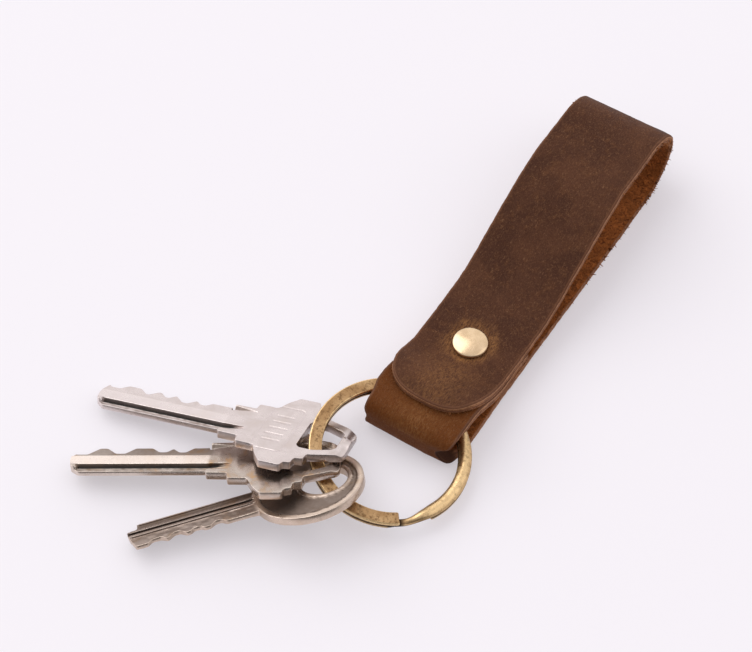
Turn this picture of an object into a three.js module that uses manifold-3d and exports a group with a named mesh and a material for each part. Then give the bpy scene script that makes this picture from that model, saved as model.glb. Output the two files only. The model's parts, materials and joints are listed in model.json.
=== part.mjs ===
// A leather loop keychain: a folded strap closed by one double-cap rivet, a split ring in the fold,
// and three keys on the ring. Millimetres, +Z up, lying on the plane z = 0.
// Origin: on the resting plane, under the middle of the rivet. +Y runs along the strap, away from the ring.
import * as THREE from "three";
import { mergeVertices } from "three/addons/utils/BufferGeometryUtils.js";
import Module from "manifold-3d";

const wasm = await Module();
wasm.setup();

// ---- driving dimensions ----
const RAD = Math.PI / 180;
const FINEST = 0.002; // detail smaller than this is dropped after a boolean

const STRAP = {
  width: 23,
  thickness: 2.3,
  layerGap: 0.08,
  tabEnd: 6, // where the inner end of the strip stops, just past the rivet
  loopEnd: 73, // far end of the finger loop
  loopHeight: 20,
  bendLength: 12.5, // the far bend is half an ellipse this long
  topFallStart: 49.5, // the upper layer comes down between these two stations
  topFallEnd: 9,
  bottomRiseStart: 45, // the lower layer lifts to the rivet between these two stations
  bottomRiseEnd: 6,
  foldFront: -27.2, // the fold that holds the ring
  foldTop: 10.7,
  foldDrop: 0.5, // the lower layer sags this much between the rivet and the fold
  foldLength: 5.4,
  foldSquareness: 3.5, // exponent of the fold's superellipse, 2 is round
  eyeRiseStart: -4, // the middle layer lifts over the ring between these two stations
  eyeRiseEnd: -18,
  tongueTip: -20.9,
  tongueRound: 12, // length of the tongue's rounded end
  tongueSquareness: 2.6,
  tongueTipThickness: 2.0,
  holeRadius: 1.75,
};

const RIVET = {
  capRadius: 4.1,
  baseHeight: 0.9, // the lower layer's underside stands this high at the rivet
  domeHeight: 1.2,
  shell: 0.25,
  flangeRadius: 3.5,
  flangeThickness: 0.3,
  tubeRadius: 1.6,
  tubeWall: 0.4,
  postRadius: 1.0,
  clearance: 0.05,
};

const RING = {
  outerRadius: 17.75,
  wireWidth: 2.9,
  coilThickness: 1.05,
  coilGap: 0.1,
  bevel: 0.3,
  centre: [-0.59, -32.09, 5.63], // it rests on the keys and in the strap's eye, clear of the surface
  tiltY: 7.7 * RAD, // the left side is lifted by the keys
  cutAngle: 309 * RAD, // where the upper coil ends
  jogAngle: 20 * RAD, // stretch over which the wire steps from one coil to the other
};

const KEY = {
  thickness: 1.9,
  bladeHalf: 4.2,
  ledgeWidth: 1.0, // stepped edge along the back of the blade
  ledgeDepth: 0.75,
  millDepth: 0.4, // milled flat along the toothed half
  bladeLength: 30.1,
};

const STEPPED_HEAD = {
  length: 58.7,
  half: 13.2,
  holeStart: 47.9,
  holeTaper: 51.8, // the hole narrows from here to its end
  holeEnd: 56.3,
  holeHalf: 5.3,
  holeTip: 3.4,
};
const ROUND_HEAD = { length: 51.8, radius: 12.2, rim: 1.5, recess: 0.3, holeRadius: 5.2, holeAt: 43.2, holeRim: 1.0 };

// Each key lies with its tip on the surface and its head on the ring: where the middle of its tip is on
// the upper face, its heading in plan, its climb towards the head and its roll about its length.
const POSES = {
  upper: { tip: [-63.94, -51.97, 2.99], heading: 14.96 * RAD, climb: 6.28 * RAD, roll: 24.85 * RAD },
  middle: { tip: [-58.3, -70.0, 4.24], heading: 30.45 * RAD, climb: 4.13 * RAD, roll: 24.99 * RAD },
  lower: { tip: [-36.81, -78.63, 3.58], heading: 47.93 * RAD, climb: 5.63 * RAD, roll: 27.63 * RAD },
};

// ---- colours ----
const leather = new THREE.MeshStandardMaterial({ color: 0x5a3d2c, roughness: 0.75, metalness: 0 });
const paleBrass = new THREE.MeshStandardMaterial({ color: 0xd9bd8a, roughness: 0.3, metalness: 1 });
const steel = new THREE.MeshStandardMaterial({ color: 0x9a9a98, roughness: 0.4, metalness: 1 });
const antiqueBrass = new THREE.MeshStandardMaterial({ color: 0xa98552, roughness: 0.45, metalness: 1 });
const nickel = new THREE.MeshStandardMaterial({ color: 0xc9bfba, roughness: 0.35, metalness: 1 });
const wornNickel = new THREE.MeshStandardMaterial({ color: 0xa8977f, roughness: 0.35, metalness: 1 });
const darkNickel = new THREE.MeshStandardMaterial({ color: 0x8c8178, roughness: 0.4, metalness: 1 });

// ---- solids ----
function weld(geometry) {
  const g = geometry.clone();
  g.deleteAttribute("normal");
  g.deleteAttribute("uv");
  return mergeVertices(g, 1e-4);
}

function solid(geometry) {
  const g = weld(geometry);
  const vertProperties = new Float32Array(g.attributes.position.array);
  const triVerts = new Uint32Array(g.index.array);
  return new wasm.Manifold(new wasm.Mesh({ numProp: 3, vertProperties, triVerts }));
}

function geometryOf(made) {
  const mesh = made.getMesh();
  const g = new THREE.BufferGeometry();
  g.setAttribute("position", new THREE.BufferAttribute(new Float32Array(mesh.vertProperties), 3));
  g.setIndex(new THREE.BufferAttribute(new Uint32Array(mesh.triVerts), 1));
  g.computeVertexNormals();
  return g;
}

function part(name, geometry, material) {
  const mesh = new THREE.Mesh(geometry, material);
  mesh.name = name;
  return mesh;
}

function slab(outline, depth, holes = []) {
  const shape = new THREE.Shape(outline.map(([x, y]) => new THREE.Vector2(x, y)));
  for (const hole of holes) shape.holes.push(new THREE.Path(hole.map(([x, y]) => new THREE.Vector2(x, y))));
  return new THREE.ExtrudeGeometry(shape, { depth, bevelEnabled: false });
}

function lathe(profile, segments = 24) {
  const g = new THREE.LatheGeometry(profile.map(([r, z]) => new THREE.Vector2(r, z)), segments);
  return g.rotateX(Math.PI / 2);
}

const smooth = (t) => {
  const u = Math.min(Math.max(t, 0), 1);
  return u * u * (3 - 2 * u);
};

const ramp = (x, from, to) => smooth((x - from) / (to - from));

function superellipse(centre, half, exponent, start, end, steps) {
  const points = [];
  for (let i = 0; i <= steps; i++) {
    const a = start + ((end - start) * i) / steps;
    const c = Math.cos(a);
    const s = Math.sin(a);
    points.push([
      centre[0] + half[0] * Math.sign(c) * Math.abs(c) ** (2 / exponent),
      centre[1] + half[1] * Math.sign(s) * Math.abs(s) ** (2 / exponent),
    ]);
  }
  return points;
}

// ---- strap ----
const T = STRAP.thickness;
const lowerLevel = RIVET.baseHeight + T / 2;
const middleLevel = lowerLevel + T + STRAP.layerGap;
const upperLevel = middleLevel + T + STRAP.layerGap;
const strapTopAtRivet = upperLevel + T / 2;
const foldTopLevel = STRAP.foldTop - T / 2;

const middleLayer = (y) =>
  middleLevel + (foldTopLevel - middleLevel) * ramp(y, STRAP.eyeRiseStart, STRAP.eyeRiseEnd);
const foldBottomLevel = lowerLevel - STRAP.foldDrop;
const lowerLayer = (y) =>
  lowerLevel +
  (T / 2 - lowerLevel) * ramp(y, STRAP.bottomRiseEnd, STRAP.bottomRiseStart) -
  STRAP.foldDrop * ramp(y, -6, -16);
const loopTopLevel = STRAP.loopHeight - T / 2;
const upperLayer = (y) => upperLevel + (loopTopLevel - upperLevel) * ramp(y, STRAP.topFallEnd, STRAP.topFallStart);

function run(from, to, step, level) {
  const count = Math.max(1, Math.round(Math.abs(to - from) / step));
  const points = [];
  for (let i = 0; i < count; i++) {
    const y = from + ((to - from) * i) / count;
    points.push([y, level(y)]);
  }
  return points;
}

// The middle of the strip's thickness as (y, z) points, from the inner end to where the tongue begins.
function stripLine() {
  const foldStart = STRAP.foldFront + T / 2 + STRAP.foldLength - 1;
  const foldMiddle = (foldTopLevel + foldBottomLevel) / 2;
  const foldHalf = (foldTopLevel - foldBottomLevel) / 2;
  const foldReach = foldStart - (STRAP.foldFront + T / 2);
  const bendStart = STRAP.loopEnd - STRAP.bendLength;
  const bendMiddle = STRAP.loopHeight / 2;
  const quarter = Math.PI / 2;
  return [
    [STRAP.tabEnd, middleLevel],
    ...run(STRAP.eyeRiseStart, foldStart, 1.2, middleLayer),
    ...superellipse([foldStart, foldMiddle], [foldReach, foldHalf], STRAP.foldSquareness, quarter, 3 * quarter, 20),
    ...run(foldStart + 1, STRAP.bottomRiseEnd, 3, lowerLayer),
    ...run(STRAP.bottomRiseEnd, STRAP.bottomRiseStart, 3, lowerLayer),
    ...run(STRAP.bottomRiseStart, bendStart, 16, lowerLayer),
    ...superellipse([bendStart, bendMiddle], [STRAP.bendLength - T / 2, bendMiddle - T / 2], 2, -quarter, quarter, 26),
    ...run(bendStart - 1, STRAP.topFallStart, 5, upperLayer),
    ...run(STRAP.topFallStart, STRAP.topFallEnd, 2.5, upperLayer),
    [STRAP.topFallEnd, upperLevel],
    [-3, upperLevel],
  ];
}

// The tongue climbs over the middle layer and thins towards its tip.
function tongueLine() {
  return run(-1, STRAP.tongueTip, 1.15, tongueLevel).concat([[STRAP.tongueTip, tongueLevel(STRAP.tongueTip)]]);
}

function tongueThickness(y) {
  return T + (STRAP.tongueTipThickness - T) * ramp(y, -8, STRAP.tongueTip);
}

function tongueLevel(y) {
  const over = middleLayer(y) + T / 2 + STRAP.layerGap + tongueThickness(y) / 2;
  return Math.max(upperLevel, over);
}

// A closed outline around a line of points, half the thickness to each side.
function thicken(line, thickness) {
  const left = [];
  const right = [];
  line.forEach(([y, z], i) => {
    const before = line[Math.max(i - 1, 0)];
    const after = line[Math.min(i + 1, line.length - 1)];
    const length = Math.hypot(after[0] - before[0], after[1] - before[1]);
    const half = thickness(y) / 2;
    const ny = (-(after[1] - before[1]) / length) * half;
    const nz = ((after[0] - before[0]) / length) * half;
    left.push([y + ny, z + nz]);
    right.push([y - ny, z - nz]);
  });
  return left.concat(right.reverse());
}

// A profile in the YZ plane, made as wide as the strap along X.
function across(outline, width) {
  const axes = new THREE.Matrix4().makeBasis(
    new THREE.Vector3(0, 1, 0),
    new THREE.Vector3(0, 0, 1),
    new THREE.Vector3(1, 0, 0),
  );
  return slab(outline, width).applyMatrix4(axes).translate(-width / 2, 0, 0);
}

function leatherStrap() {
  const strip = solid(across(thicken(stripLine(), () => T), STRAP.width));
  const tongueBlank = solid(across(thicken(tongueLine(), tongueThickness), STRAP.width));
  const half = STRAP.width / 2;
  const roundStart = STRAP.tongueTip + STRAP.tongueRound;
  const outline = superellipse([0, roundStart], [half, STRAP.tongueRound], STRAP.tongueSquareness, Math.PI, 2 * Math.PI, 36);
  const window = slab([...outline, [half, 2], [-half, 2]], 2 * STRAP.loopHeight);
  const tongue = tongueBlank.intersect(solid(window));
  const hole = new THREE.CylinderGeometry(STRAP.holeRadius, STRAP.holeRadius, 3 * STRAP.loopHeight, 28);
  hole.rotateX(Math.PI / 2);
  const strap = strip.add(tongue).subtract(solid(hole)).simplify(FINEST);
  return part("leather_strap", geometryOf(strap), leather);
}

// ---- rivet ----
// A thin cap rolled round the rim of a flange. dome is its outer height, flatRadius its flat middle.
function capShell(dome, flatRadius) {
  const { capRadius, shell, flangeRadius, flangeThickness, clearance } = RIVET;
  const lipTop = shell * 0.6;
  const roomTop = lipTop + flangeThickness + 2 * clearance;
  const outer = [];
  const inner = [];
  const steps = 7;
  for (let i = 0; i <= steps; i++) {
    const t = i / steps;
    const angle = (t * Math.PI) / 2;
    const reach = capRadius - 0.12;
    const r = flatRadius + (reach - flatRadius) * Math.sin(angle);
    const z = 0.45 * dome + 0.55 * dome * Math.cos(angle);
    outer.push([r, z]);
    inner.push([Math.min(r * 0.93, flangeRadius + clearance), Math.max(z - shell, roomTop)]);
  }
  return [
    [0, dome - shell],
    ...inner.filter(([r], i) => i === 0 ? r > 0 : r > inner[i - 1][0] + 1e-3),
    [flangeRadius + clearance, lipTop],
    [flangeRadius - 0.5, lipTop],
    [flangeRadius - 0.5, 0],
    [capRadius - 0.25, 0],
    [capRadius, 0.2 * dome],
    ...outer.reverse().filter(([r]) => r > 0),
    [0, dome],
  ];
}

function rivetParts() {
  const { shell, flangeRadius, flangeThickness, tubeRadius, tubeWall, postRadius, clearance } = RIVET;
  const flangeFrom = shell * 0.6 + clearance;
  const flangeTo = flangeFrom + flangeThickness;
  const seat = strapTopAtRivet + 0.02;
  const foot = RIVET.baseHeight - 0.02;
  const tubeBottom = -4.2;
  const bore = tubeRadius - tubeWall;

  const cap = part("rivet_cap", lathe(capShell(RIVET.domeHeight, 0), 32), paleBrass);
  cap.position.z = seat;

  const socketProfile = [
    [bore, tubeBottom],
    [tubeRadius, tubeBottom],
    [tubeRadius, flangeFrom],
    [flangeRadius, flangeFrom],
    [flangeRadius, flangeTo],
    [bore, flangeTo],
    [bore, tubeBottom],
  ];
  const socket = part("rivet_socket", lathe(socketProfile), steel);
  socket.position.z = seat;

  const postTop = seat - foot - 0.4;
  const postProfile = [
    [0, -flangeTo],
    [flangeRadius, -flangeTo],
    [flangeRadius, -flangeFrom],
    [tubeRadius, -flangeFrom],
    [postRadius, 0.4],
    [postRadius, postTop - 1.0],
    [postRadius + 0.12, postTop - 0.6],
    [postRadius + 0.12, postTop - 0.2],
    [postRadius - 0.1, postTop],
    [0, postTop],
  ];
  const post = part("rivet_post", lathe(postProfile), steel);
  post.position.z = foot;

  const base = part("rivet_base_cap", lathe(capShell(foot, 2.4), 32), paleBrass);
  base.rotation.x = Math.PI;
  base.position.z = foot;
  return [cap, socket, post, base];
}

// ---- split ring ----
// A straight bar of bevelled section is wound into two coils: the upper coil starts at the cut, runs once
// round, steps down beside its own end and runs round again beneath.
function splitRing() {
  const { outerRadius, wireWidth, coilThickness, coilGap, bevel, cutAngle, jogAngle } = RING;
  const w = wireWidth / 2;
  const h = coilThickness / 2;
  const section = [
    [-w + bevel, -h],
    [w - bevel, -h],
    [w, -h + bevel],
    [w, h - bevel],
    [w - bevel, h],
    [-w + bevel, h],
    [-w, h - bevel],
    [-w, -h + bevel],
  ];
  const shape = new THREE.Shape(section.map(([x, y]) => new THREE.Vector2(x, y)));
  const turn = 2 * Math.PI;
  const travel = 2 * turn - jogAngle - 4 * RAD;
  const wire = new THREE.ExtrudeGeometry(shape, { depth: travel, steps: 136, bevelEnabled: false });
  const level = (coilThickness + coilGap) / 2;
  const middle = outerRadius - w;
  const p = wire.attributes.position;
  for (let i = 0; i < p.count; i++) {
    const gone = p.getZ(i);
    const angle = cutAngle - gone;
    const radius = middle + p.getX(i);
    const height = p.getY(i) + level * (1 - 2 * ramp(gone, turn - jogAngle, turn));
    p.setXYZ(i, radius * Math.cos(angle), radius * Math.sin(angle), height);
  }
  const ring = part("split_ring", facingOut(wire), antiqueBrass);
  ring.position.set(...RING.centre);
  ring.rotation.y = RING.tiltY;
  return ring;
}

function facingOut(geometry) {
  const g = weld(geometry);
  const p = g.attributes.position;
  const index = g.index.array;
  const [a, b, c] = [new THREE.Vector3(), new THREE.Vector3(), new THREE.Vector3()];
  let volume = 0;
  for (let i = 0; i < index.length; i += 3) {
    a.fromBufferAttribute(p, index[i]);
    b.fromBufferAttribute(p, index[i + 1]);
    c.fromBufferAttribute(p, index[i + 2]);
    volume += a.dot(b.cross(c));
  }
  if (volume < 0) {
    for (let i = 0; i < index.length; i += 3) [index[i], index[i + 1]] = [index[i + 1], index[i]];
  }
  g.computeVertexNormals();
  return g;
}

// ---- keys ----
// In a key's own frame u runs from the tip to the end of the head, v across, and the upper face is w = 0.
function teeth(cuts, from, to) {
  const slope = 0.95;
  const points = [];
  const edge = (u) =>
    Math.min(KEY.bladeHalf, ...cuts.map(([at, root, flat]) => root + slope * Math.max(0, Math.abs(u - at) - flat / 2)));
  const stations = [from, to];
  for (const [at, root, flat] of cuts) {
    const reach = (KEY.bladeHalf - root) / slope;
    stations.push(at - flat / 2, at + flat / 2, at - flat / 2 - reach, at + flat / 2 + reach);
  }
  for (let i = 1; i < cuts.length; i++) {
    const [a, rootA, flatA] = cuts[i - 1];
    const [b, rootB, flatB] = cuts[i];
    stations.push((a + flatA / 2 + b - flatB / 2) / 2 + (rootB - rootA) / (2 * slope));
  }
  for (const u of stations.filter((s) => s >= from && s <= to).sort((m, n) => m - n)) {
    const last = points[points.length - 1];
    if (!last || u - last[0] > 0.05) points.push([u, edge(u)]);
  }
  return points;
}

// Solid bar in the key's frame, from one (u, v, w) corner to the other.
function bar(low, high) {
  const g = new THREE.BoxGeometry(high[0] - low[0], high[1] - low[1], high[2] - low[2]);
  g.translate((low[0] + high[0]) / 2, (low[1] + high[1]) / 2, (low[2] + high[2]) / 2);
  return solid(g);
}

// Cuts the stepped back edge, the milled flat beside the teeth and a groove underneath.
function millBlade(blank, toothSide) {
  const { bladeHalf, ledgeWidth, ledgeDepth, millDepth, bladeLength, thickness } = KEY;
  const flip = (v0, v1) => (toothSide > 0 ? [v0, v1] : [-v1, -v0]);
  const over = 5;
  const grooveDepth = 0.5;
  const [l0, l1] = flip(-bladeHalf - over, -bladeHalf + ledgeWidth);
  const [m0, m1] = flip(1.0, bladeHalf + over);
  const [g0, g1] = flip(-1.9, 0.6);
  return blank
    .subtract(bar([-over, l0, -ledgeDepth], [bladeLength - 1, l1, over]))
    .subtract(bar([-over, m0, -millDepth], [bladeLength - 2, m1, over]))
    .subtract(bar([-over, g0, -thickness - over], [bladeLength - 2, g1, -thickness + grooveDepth]));
}

function placed(name, made, pose, material) {
  const key = part(name, geometryOf(made), material);
  key.rotation.order = "ZYX";
  key.rotation.set(-pose.roll, -pose.climb, pose.heading);
  key.position.set(...pose.tip);
  return key;
}

// House key with a stepped head that narrows to a bar beyond its hole.
function steppedKey(name, pose, cuts, material) {
  const { length, half, holeStart, holeTaper, holeEnd, holeHalf, holeTip } = STEPPED_HEAD;
  const { bladeHalf, bladeLength, thickness } = KEY;
  const side = [
    [bladeLength, bladeHalf],
    [bladeLength, 5.7],
    [34.8, 5.8],
    [35.0, 7.7],
    [39.2, 7.8],
    [40.7, 10.8],
    [42.5, half],
    [47.2, half],
    [47.6, 11.8],
    [49.1, 11.5],
    [49.3, 9.6],
    [51.1, 9.2],
    [51.3, 7.3],
    [52.2, 7.1],
    [length - 0.5, 5.0],
    [length, 4.1],
  ];
  const far = side.map(([u, v]) => [u, v]);
  const near = side.map(([u, v]) => [u, -v]).reverse();
  const outline = [...teeth(cuts, 0.9, bladeLength - 0.3), ...far, ...near, [2.2, -bladeHalf], [0.4, -2.6], [0, -0.4], [0.1, 1.2]];
  const hole = [
    [holeStart, -holeHalf + 0.8],
    [holeStart + 0.8, -holeHalf],
    [holeTaper, -holeHalf],
    [holeEnd - 0.8, -holeTip - 0.4],
    [holeEnd, -holeTip + 0.4],
    [holeEnd, holeTip - 0.4],
    [holeEnd - 0.8, holeTip + 0.4],
    [holeTaper, holeHalf],
    [holeStart + 0.8, holeHalf],
    [holeStart, holeHalf - 0.8],
  ];
  const blank = solid(slab(outline, thickness, [hole]).translate(0, 0, -thickness));
  return placed(name, millBlade(blank, 1), pose, material);
}

function disc(u, v, radius, from, to, segments = 48) {
  const g = new THREE.CylinderGeometry(radius, radius, to - from, segments);
  g.rotateX(Math.PI / 2);
  g.translate(u, v, (from + to) / 2);
  return solid(g);
}

// House key with a round head, a raised rim round both faces and a round hole.
function roundKey(name, pose, cuts, material) {
  const { length, radius, rim, recess, holeRadius, holeAt, holeRim } = ROUND_HEAD;
  const { bladeHalf, bladeLength, thickness } = KEY;
  const headAt = length - radius;
  const toothed = teeth(cuts, 1.4, bladeLength - 6).map(([u, v]) => [u, -v]).reverse();
  const neck = headAt - Math.sqrt(radius ** 2 - bladeHalf ** 2);
  const outline = [
    [0, 0.6],
    [0.5, 1.7],
    [2.2, 1.9],
    [2.6, bladeHalf],
    [neck + 1, bladeHalf],
    [neck + 1, -bladeHalf],
    ...toothed,
    [0.8, -2.4],
  ];
  const blade = solid(slab(outline.reverse(), thickness).translate(0, 0, -thickness));
  const head = disc(headAt, 0, radius, -thickness, 0, 72);
  const band = (from, to) =>
    disc(headAt, 0, radius - rim, from, to, 64).subtract(disc(holeAt, 0, holeRadius + holeRim, from - 1, to + 1));
  const made = millBlade(blade, -1)
    .add(head)
    .subtract(disc(holeAt, 0, holeRadius, -thickness - 1, 1, 40))
    .subtract(band(-recess, 1))
    .subtract(band(-thickness - 1, -thickness + recess));
  return placed(name, made, pose, material);
}

// Each cut is [station, height left of the blade there, flat width].
const UPPER_CUTS = [[2.6, 2.6, 2.0], [10.2, 2.6, 0.8], [14.8, 2.9, 0.8], [19.2, 2.3, 1.2], [23.3, 2.9, 1.2]];
const MIDDLE_CUTS = [[2.2, 1.9, 2.4], [10.6, 2.2, 2.0], [19.8, 2.7, 1.6], [24.1, 2.6, 1.4]];
const LOWER_CUTS = [[6.0, 3.2, 2.0], [10.4, 2.9, 1.2], [14.8, 3.4, 1.4], [19.4, 3.1, 1.2]];

const keychain = new THREE.Group();
keychain.name = "keychain";
keychain.add(
  leatherStrap(),
  ...rivetParts(),
  splitRing(),
  steppedKey("house_key_upper", POSES.upper, UPPER_CUTS, nickel),
  steppedKey("house_key_middle", POSES.middle, MIDDLE_CUTS, wornNickel),
  roundKey("round_key_lower", POSES.lower, LOWER_CUTS, darkNickel),
);

export default keychain;
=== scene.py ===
import json
import math

import bmesh
import bpy
import numpy as np
from mathutils import Matrix, Vector
from mathutils.geometry import delaunay_2d_cdt


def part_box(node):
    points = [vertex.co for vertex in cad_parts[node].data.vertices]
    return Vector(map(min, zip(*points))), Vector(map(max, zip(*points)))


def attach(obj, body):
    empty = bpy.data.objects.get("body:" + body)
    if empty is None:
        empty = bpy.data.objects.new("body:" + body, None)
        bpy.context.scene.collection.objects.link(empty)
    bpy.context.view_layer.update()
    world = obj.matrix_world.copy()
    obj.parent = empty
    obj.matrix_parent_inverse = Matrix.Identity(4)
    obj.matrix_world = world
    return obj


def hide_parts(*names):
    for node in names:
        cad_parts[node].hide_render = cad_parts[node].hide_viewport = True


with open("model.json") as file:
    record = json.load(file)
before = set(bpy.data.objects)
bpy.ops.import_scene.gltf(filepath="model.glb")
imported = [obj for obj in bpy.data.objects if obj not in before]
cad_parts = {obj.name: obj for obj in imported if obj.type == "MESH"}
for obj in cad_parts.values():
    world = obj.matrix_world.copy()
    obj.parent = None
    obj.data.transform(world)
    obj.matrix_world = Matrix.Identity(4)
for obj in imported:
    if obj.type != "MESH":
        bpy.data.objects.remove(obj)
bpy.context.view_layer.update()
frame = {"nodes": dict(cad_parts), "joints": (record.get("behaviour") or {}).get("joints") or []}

# A leather loop keychain: folded strap, double-cap rivet, split ring and three keys.
# Sizes are in millimetres in the part's own frame: +Y along the strap, +Z up. MM turns them into metres.
MM = 0.001

# ---- leather strip ----
WIDTH = 23.0
THICK = 2.3
LAYER_GAP = 0.08
TAB_END = 6.0  # the strip's inner end, just past the rivet
FOLD_FRONT = -27.2
FOLD_TOP = 10.7
FOLD_DROP = 0.5
FOLD_LENGTH = 5.4
FOLD_SQUARENESS = 3.5
LOOP_END = 73.0
LOOP_HEIGHT = 20.0
BEND_LENGTH = 12.5
TONGUE_TIP = -20.9
TONGUE_ROUND = 12.0
TONGUE_SQUARENESS = 2.6
TONGUE_TIP_THICK = 2.0
RIVET_FOOT = 0.9  # height of the lower layer's underside at the rivet
STATION = 0.42  # distance between the mesh's rows along the strip
ACROSS = 54  # points across each face
BEVEL = 0.5  # width of the edge bevel
LINE_STEP = 0.1  # spacing of the points of the strip's middle line
BEND_POINTS = 160  # points round the fold and round the far bend


def smooth(t):
    u = np.clip(t, 0, 1)
    return u * u * (3 - 2 * u)


def ramp(x, start, end):
    return smooth((x - start) / (end - start))


def bump_at(x, centre, width):
    return np.exp(-(((x - centre) / width) ** 2))


def unit(vectors):
    return vectors / np.linalg.norm(vectors, axis=-1, keepdims=True)


def ripple(x, y, size, seed):
    """Smooth noise from -1 to 1, whose waves are about size long."""
    grid = np.random.default_rng(seed).uniform(-1, 1, (64, 64))
    u, v = np.asarray(x, float) / size, np.asarray(y, float) / size
    i, j = np.floor(u).astype(int), np.floor(v).astype(int)
    fu, fv = smooth(u - i), smooth(v - j)
    g = lambda a, b: grid[a % 64, b % 64]
    low = g(i, j) * (1 - fu) + g(i + 1, j) * fu
    high = g(i, j + 1) * (1 - fu) + g(i + 1, j + 1) * fu
    return low * (1 - fv) + high * fv


# ---- meshes ----
def add_object(name, data):
    made = bpy.data.objects.new(name, data)
    bpy.context.scene.collection.objects.link(made)
    return made


def mesh_object(name, points, faces, attributes=None):
    """A smooth-shaded object from points in millimetres. attributes are values for each point."""
    mesh = bpy.data.meshes.new(name)
    mesh.from_pydata((np.asarray(points) * MM).tolist(), [], faces)
    mesh.validate()
    for key, values in (attributes or {}).items():
        values = np.asarray(values, np.float32)
        kind, field = ("FLOAT_VECTOR", "vector") if values.ndim == 2 else ("FLOAT", "value")
        mesh.attributes.new(key, kind, "POINT").data.foreach_set(field, values.ravel())
    mesh.shade_smooth()
    return add_object(name, mesh)


def face_outwards(made):
    bm = bmesh.new()
    bm.from_mesh(made.data)
    bmesh.ops.recalc_face_normals(bm, faces=bm.faces)
    bm.to_mesh(made.data)
    bm.free()


def loop_faces(rows, columns):
    """Quads between rows of a closed loop of columns points."""
    faces = []
    for i in range(rows - 1):
        a, b = i * columns, (i + 1) * columns
        for j in range(columns):
            k = (j + 1) % columns
            faces.append((a + j, a + k, b + k, b + j))
    return faces


# ---- shading nodes ----
class Graph:
    """A node tree: each method adds one node and returns its output."""

    def __init__(self, owner):
        owner.use_nodes = True
        self.owner = owner
        self.nodes = owner.node_tree.nodes
        self.links = owner.node_tree.links

    def put(self, socket, value):
        if isinstance(value, bpy.types.NodeSocket):
            self.links.new(value, socket)
        elif value is not None:
            socket.default_value = value

    def node(self, kind, output, inputs, **settings):
        node = self.nodes.new("ShaderNode" + kind)
        for key, value in settings.items():
            setattr(node, key, value)
        for key, value in inputs.items():
            self.put(node.inputs[key], value)
        return node.outputs[output]

    def set(self, **values):
        """Sets the shader's colour and other inputs and returns the finished material."""
        for key, value in {"Base_Color": self.colour, **values}.items():
            self.put(self.nodes["Principled BSDF"].inputs[key.replace("_", " ")], value)
        return self.owner

    def attribute(self, name, output="Fac"):
        return self.node("Attribute", output, {}, attribute_name=name)

    def place(self):
        return self.node("TexCoord", "Object", {})

    def stretch(self, vector, scale):
        return self.node("Mapping", "Vector", {"Vector": vector, "Scale": scale})

    def noise(self, vector, scale, detail=4.0, rough=0.55, twist=0.0):
        inputs = {"Vector": vector, "Scale": scale, "Detail": detail, "Roughness": rough, "Distortion": twist}
        return self.node("TexNoise", "Fac", inputs)

    def cells(self, vector, scale):
        return self.node("TexVoronoi", "Distance", {"Vector": vector, "Scale": scale}, feature="F1")

    def ramp(self, value, low, high, start=0.0, end=1.0):
        """value from low..high mapped onto start..end, smoothly and held at both ends."""
        inputs = {"Value": value, "From Min": low, "From Max": high, "To Min": start, "To Max": end}
        return self.node("MapRange", "Result", inputs, interpolation_type="SMOOTHSTEP")

    def maths(self, operation, a, b=None):
        return self.node("Math", 0, {0: a, 1: b}, operation=operation)

    def plus(self, a, b):
        return self.maths("ADD", a, b)

    def minus(self, a, b):
        return self.maths("SUBTRACT", a, b)

    def times(self, a, b):
        return self.maths("MULTIPLY", a, b)

    def mix(self, share, a, b):
        a, b = (c if isinstance(c, bpy.types.NodeSocket) else (*c, 1) for c in (a, b))
        return self.node("Mix", "Result", {"Factor": share, "A": a, "B": b}, data_type="RGBA")

    def coat(self, share, tint):
        """Lays share of a tint over the colour so far."""
        self.colour = self.mix(share, self.colour, tint)

    def bump(self, height, depth_mm, strength=1.0, before=None):
        inputs = {"Strength": strength, "Distance": depth_mm * MM, "Height": height, "Normal": before}
        return self.node("Bump", "Normal", inputs)


def surface(name):
    """The graph of a new material with one Principled shader."""
    return Graph(bpy.data.materials.new(name))


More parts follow.
